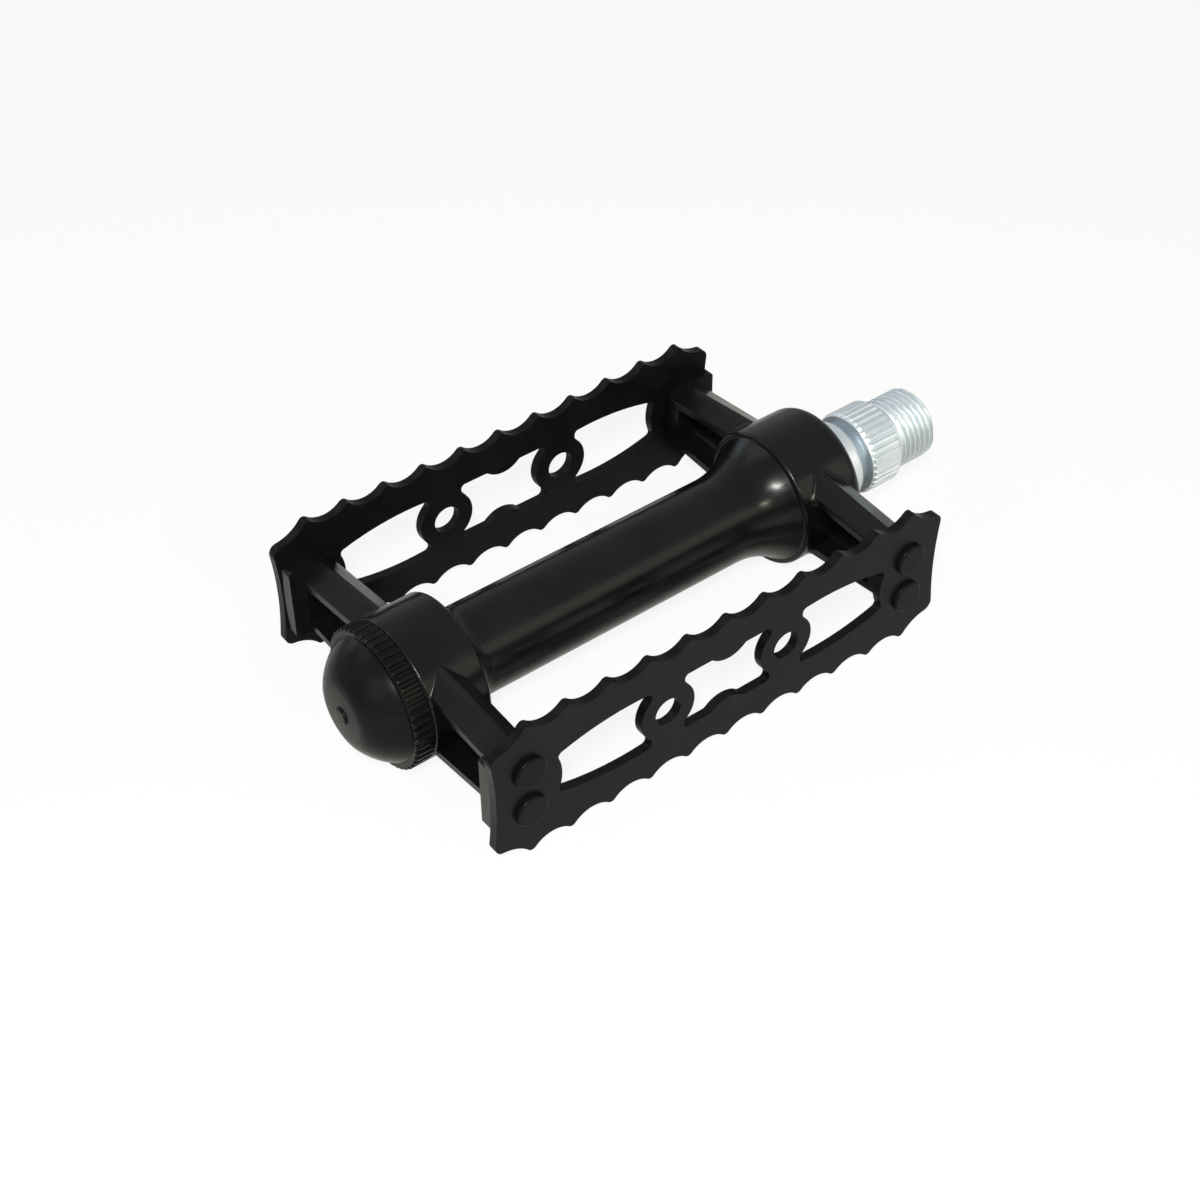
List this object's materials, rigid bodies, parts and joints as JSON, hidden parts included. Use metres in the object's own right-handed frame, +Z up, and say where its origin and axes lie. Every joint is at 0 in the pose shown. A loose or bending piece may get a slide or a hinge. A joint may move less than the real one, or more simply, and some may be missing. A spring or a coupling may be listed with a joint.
{
  "type": "touring pedal",
  "caption": "Bicycle cage pedal with toothed, windowed plates riveted to a black cast body that turns on a ball-bearing axle with a ridged collar and a crank thread.",
  "frame": {"origin": "centre of the seat shoulder that butts against the crank, on the axle axis", "axes": "+X along the axle towards the crank, +Z up with the cage lying level, -Y towards the front cage plate"},
  "size_m": [0.1337, 0.069, 0.029],
  "materials": {
    "body_black_paint": "satin black paint over a die casting",
    "plate_black_coat": "satin black coat on pressed sheet",
    "rivet_black_steel": "satin black, slightly worn heads",
    "cap_black_plastic": "satin black moulding",
    "axle_zinc_steel": "bright zinc plate",
    "race_steel": "ground and hardened",
    "ball_steel": "polished",
    "zinc_hardware": "zinc plate",
    "seal_rubber": "matt black"
  },
  "bodies": {
    "axle": {"axle": "axle_zinc_steel", "adjusting_cone": "race_steel", "keyed_washer": "zinc_hardware", "lock_nut": "zinc_hardware"},
    "pedal": {"pedal_body": "body_black_paint", "front_cage_plate": "plate_black_coat", "rear_cage_plate": "plate_black_coat", "plate_rivets": "rivet_black_steel", "dust_cap": "cap_black_plastic", "outboard_cup": "race_steel", "inboard_cup": "race_steel", "dust_seal": "seal_rubber"},
    "outboard_balls": {"outboard_balls": "ball_steel"},
    "inboard_balls": {"inboard_balls": "ball_steel"}
  },
  "joints": [
    {"name": "pedal_spin", "type": "hinge", "parent": "axle", "child": "pedal", "pos_m": [-0.0659, 0, 0], "axis": [1, 0, 0], "continuous": true},
    {"name": "outboard_balls_roll", "type": "hinge", "parent": "axle", "child": "outboard_balls", "pos_m": [-0.1067, 0, 0], "axis": [1, 0, 0], "continuous": true},
    {"name": "inboard_balls_roll", "type": "hinge", "parent": "axle", "child": "inboard_balls", "pos_m": [-0.0185, 0, 0], "axis": [1, 0, 0], "continuous": true}
  ],
  "couplings": [
    {"joint": "outboard_balls_roll", "follows": "pedal_spin", "ratio": 0.5866},
    {"joint": "inboard_balls_roll", "follows": "pedal_spin", "ratio": 0.5866}
  ]
}
